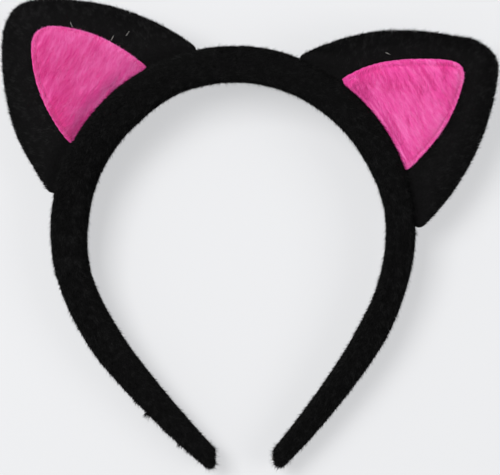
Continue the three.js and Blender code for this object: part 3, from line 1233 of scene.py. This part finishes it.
def build_ear(side, cover_shape, panel_shape, stitch_shape, inner_outline):
    cover = set_on_band(cover_shape, side, f"{side}_ear_cover", by_hand=sew_by_hand)
    unturn = ear_turn(side).inverted()

    def in_plane(place):
        """Back to the ear's own plane."""
        return unturn @ (place - Vector((0, 0, RING_CENTRE_Z)))

    def in_ear(place):
        """The same, before the patch was laid to one side."""
        local = in_plane(place)
        local.x -= patch_shift(side, local.x, local.z)
        return local

    def bare_under_panel(place):
        local = in_ear(place)
        spot = Vector((local.x, local.z))
        inside = local.y < -1 and inside_outline(spot, inner_outline)
        return 0.0 if inside and edge_distance(spot, inner_outline) > 0.8 else 1.0

    def outwards(place):
        return ear_turn(side) @ Vector((0.35 * in_plane(place).x, 0, 22))

    brush(cover, outwards, cover=bare_under_panel)
    piles = grow_black_piles(cover, f"{side}_ear_pile", lean=1.3, stray_length=1.0, first_seed=31)
    shell(cover, COVER_CLOTH * MM)
    finish_piece(cover, BLACK_GROUND)
    for piece in (cover, *piles):
        bend_with_ear(piece)
    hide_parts(f"{side}_ear_front_panel", f"{side}_ear_back_panel", f"{side}_ear_seam_allowance")

    panel = set_on_band(panel_shape, side, f"{side}_ear_inner_panel_plush", by_hand=lay_by_hand)
    sewn = sewn_edge(INNER_ARCH)

    def above_band(place):
        return math.hypot(place.x, place.z - RING_CENTRE_Z) - BAND_TOP

    def from_edge(local):
        return edge_distance(Vector((local.x, local.z)), sewn, closed=False)

    def nap(place):
        """Laid flat in the middle, standing and splayed at the cut edge."""
        local = in_ear(place)
        return pink_nap(side, local) * (1.3 + 1.1 * ramp(from_edge(local), 0.3, 4))

    def front_only(place):
        above = above_band(place)
        return ramp(-place.y / foot_depth(BAND_TOP + above), 4.3, 4.7) * ramp(above, 0.1, 0.8)

    def sheared(place):
        """Full at the seam it lies away from, short at the other, where the stitches show."""
        local = in_ear(place)
        edge = from_edge(local)
        rim = 0.75 + 0.25 * ramp(edge, 0.2, 1.6)
        foot = 0.4 + 0.6 * ramp(above_band(place), 0.5, 4)
        return rim * foot * (1 - 0.6 * ramp(local.x, -10, 8) * (1 - ramp(edge, 1.4, 5.5)))

    def tone_with_painted_light(place):
        """Paler all over on the left ear, as painted light; deeper towards each ear's left side and paler
        towards its right, in soft patches of tone.
        """
        local = in_ear(place)
        patch = noise.noise(Vector((place.x / 9, 1.0, place.z / 9)))
        # The left ear's 0.14 is painted light: it makes that ear's pile paler because it catches less of the
        # lamps' light.
        return (0.14 if side == "left" else 0.0) + 0.009 * (local.x - 2) + 0.16 * patch

    brush(panel, nap, cover=front_only, reach=sheared, tint=tone_with_painted_light)
    maker = pile_maker(
        f"{side} pink pile",
        PINK_PILE,
        length=3.0,
        density=PINK_DENSITY,
        lean=1.0,
        jitter=0.42,
        streak=(7.5, 7.5, 0.75),
        stray_length=0.15,
        seed=51,
        grain_angle=NAP_ANGLE[side] - EAR_ANGLE[side],
    )
    pink_pile = grow_pile(panel, f"{side}_ear_inner_pile", maker)
    finish_piece(panel, PINK_GROUND)
    stitches = set_on_band(stitch_shape, side, f"{side}_ear_inner_stitches", by_hand=lay_by_hand)
    finish_piece(stitches, PINK_THREAD)
    for piece, slot in ((panel, "pink_plush"), (pink_pile, "pink_plush"), (stitches, "pink_thread")):
        bend_with_ear(piece)
    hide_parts(f"{side}_ear_inner_panel")
    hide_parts(f"{side}_ear_inner_stitching")

    loose = make_strays(side)
    strays = set_on_band(loose, side, f"{side}_ear_stray_hairs")
    bpy.data.objects.remove(loose)
    finish_piece(strays, WADDING)
    bend_with_ear(strays)

    for kind, material, slot in (
        ("stiffener", FELT, "felt"),
        ("front_wadding", WADDING, "wadding"),
        ("back_wadding", WADDING, "wadding"),
    ):
        layer = soft_copy(f"{side}_ear_{kind}", f"{side}_{kind}_layer")
        finish_piece(layer, material, smooth=False)
        bend_with_ear(layer)
        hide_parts(f"{side}_ear_{kind}")


# Fibres of the wadding that worked out on to the black: (across, up, turn) in the ear's own plane.
STRAYS = {
    "left": [(11.8, 101.6, 70), (19.2, 87.0, 20), (24.6, 84.2, 5)],
    "right": [(-22.5, 90.0, 30)],
}


def make_strays(side):
    bm = bmesh.new()
    for x, z, turn in STRAYS[side]:
        start = Vector((x, -5.6, z))
        angle = math.radians(turn)
        end = start + Vector((2.0 * math.cos(angle), -0.4, 2.0 * math.sin(angle)))
        make_stitch(bm, start, end, 0.025, sides=4)
    return to_object(bm, "stray_hairs")


def inside_outline(spot, outline):
    """Whether a point is inside a closed outline."""
    inside = False
    for a, b in zip(outline, outline[1:] + outline[:1]):
        if (a.y > spot.y) != (b.y > spot.y):
            if spot.x < a.x + (b.x - a.x) * (spot.y - a.y) / (b.y - a.y):
                inside = not inside
    return inside


def build_ears():
    cover = make_ear_cover()
    panel = make_inner_panel(cover)
    stitches = make_inner_stitches(panel)
    inner_outline = arch_outline(INNER_ARCH, EAR_FOOT)
    half = math.radians(29)
    for shape in (cover, panel, stitches):
        pinch_foot(shape)
    hem = foot_strip("hem", BAND_TOP + 1.6, BAND_TOP + 3.0, 1.2, half)
    glue = foot_strip("glue", BAND_TOP - 0.6, BAND_TOP + 0.2, 1.0, half, lumps=0.12)
    for side in SIDES:
        build_ear(side, cover, panel, stitches, inner_outline)
        for shape, kind, node, material, slot in (
            (hem, "hem", "base_hem", BLACK_GROUND, "black_plush"),
            (glue, "glue", "glue_bead", HOT_GLUE, "hot_glue"),
        ):
            strip = set_on_band(shape, side, f"{side}_ear_{kind}")
            finish_piece(strip, material)
            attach(strip, f"{side}_arm")
            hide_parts(f"{side}_ear_{node}")
    for shape in (cover, panel, stitches, hem, glue):
        bpy.data.objects.remove(shape)


# ---------------------------------------------------------------- the studio


# How far the backdrop leans, and how far behind the band it is at the height of the tips.
SHEET_LEAN = math.radians(5)
SHEET_GAP = 9.5 * MM
SHEET_FOOT = -156 * MM


# (name, place, size, watts), in metres.
LAMPS = (
    ("key", (-0.32, -0.88, 0.28), 0.5, 10.4),
    ("fill", (0.75, -0.7, -0.1), 0.5, 3.4),
    ("behind", (0.3, 0.9, 0.4), 0.8, 4),
)


def make_studio():
    """A pale sheet behind the headband and a big soft light.

    The sheet stands close to the band's tips and leans back at its top, so that an ear that leans
    back stays in front of it.
    """
    bm = bmesh.new()
    bmesh.ops.create_grid(bm, x_segments=1, y_segments=1, size=3.0)
    upright = Matrix.Rotation(math.radians(90) - SHEET_LEAN, 3, "X")
    bmesh.ops.rotate(bm, verts=bm.verts, cent=(0, 0, 0), matrix=upright)
    bmesh.ops.translate(bm, verts=bm.verts, vec=(0, SHEET_GAP, SHEET_FOOT))
    sheet = to_object(bm, "pale_backdrop")
    material, tree = new_material("matt white backdrop")
    paper = add_node(tree, "ShaderNodeBsdfDiffuse", {"Color": linear("#c2c2c3")})
    glow = add_node(tree, "ShaderNodeEmission", {"Color": linear("#f0f1f3"), "Strength": 1.05})
    clear = add_node(tree, "ShaderNodeBsdfTransparent")
    thin = add_node(tree, "ShaderNodeMixShader", {"Fac": 0.52, 1: paper.outputs[0], 2: glow.outputs[0]})
    side = add_node(tree, "ShaderNodeNewGeometry").outputs["Backfacing"]
    shown = add_node(tree, "ShaderNodeMixShader", {"Fac": side, 1: thin.outputs[0], 2: clear.outputs[0]})
    add_node(tree, "ShaderNodeOutputMaterial", {"Surface": shown.outputs[0]})
    sheet.data.materials.append(material)

    world = bpy.data.worlds.new("studio")
    bpy.context.scene.world = world
    world.use_nodes = True
    world.node_tree.nodes["Background"].inputs["Color"].default_value = linear("#f6f7fa")
    world.node_tree.nodes["Background"].inputs["Strength"].default_value = 0.5

    for name, place, size, power in LAMPS:
        lamp = bpy.data.lights.new(name, "AREA")
        lamp.size = size
        lamp.energy = power
        lit = bpy.data.objects.new(name, lamp)
        bpy.context.scene.collection.objects.link(lit)
        aim = Vector((0, 0, -0.06)) - Vector(place)
        lit.matrix_world = Matrix.Translation(place) @ aim.to_track_quat("-Z", "Y").to_matrix().to_4x4()


def set_exposure():
    """Plain display of the light, so a dyed colour shows as it was dyed."""
    bpy.context.scene.view_settings.view_transform = "Standard"


# The width of a full-frame sensor.
SENSOR = 36


def make_camera():
    """Almost square on, a little from the right and above, and rolled as the band lies."""
    azimuth, elevation, roll = math.radians(6.65), math.radians(2.8), math.radians(-3.2)
    target = Vector((7.2, 0, -62.0)) * MM
    distance, seen_width = 625 * MM, 197.8 * MM
    level = math.cos(elevation)
    towards = Vector((math.sin(azimuth) * level, -math.cos(azimuth) * level, math.sin(elevation)))
    right = Vector((0, 0, 1)).cross(towards).normalized()
    up = towards.cross(right)
    rolled_right = right * math.cos(roll) + up * math.sin(roll)
    rolled_up = up * math.cos(roll) - right * math.sin(roll)
    lens = bpy.data.cameras.new("camera")
    lens.sensor_width = SENSOR
    lens.lens = SENSOR * distance / seen_width
    lens.clip_start = 0.01
    camera = bpy.data.objects.new("camera", lens)
    bpy.context.scene.collection.objects.link(camera)
    axes = Matrix((rolled_right, rolled_up, towards)).transposed().to_4x4()
    camera.matrix_world = Matrix.Translation(target + towards * distance) @ axes
    bpy.context.scene.camera = camera


make_studio()
set_exposure()
make_camera()
for side in SIDES:
    build_band(side)
build_ears()
dab = finish_piece(make_glue_dab(), MATTED_GLUE)
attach(dab, "right_arm")
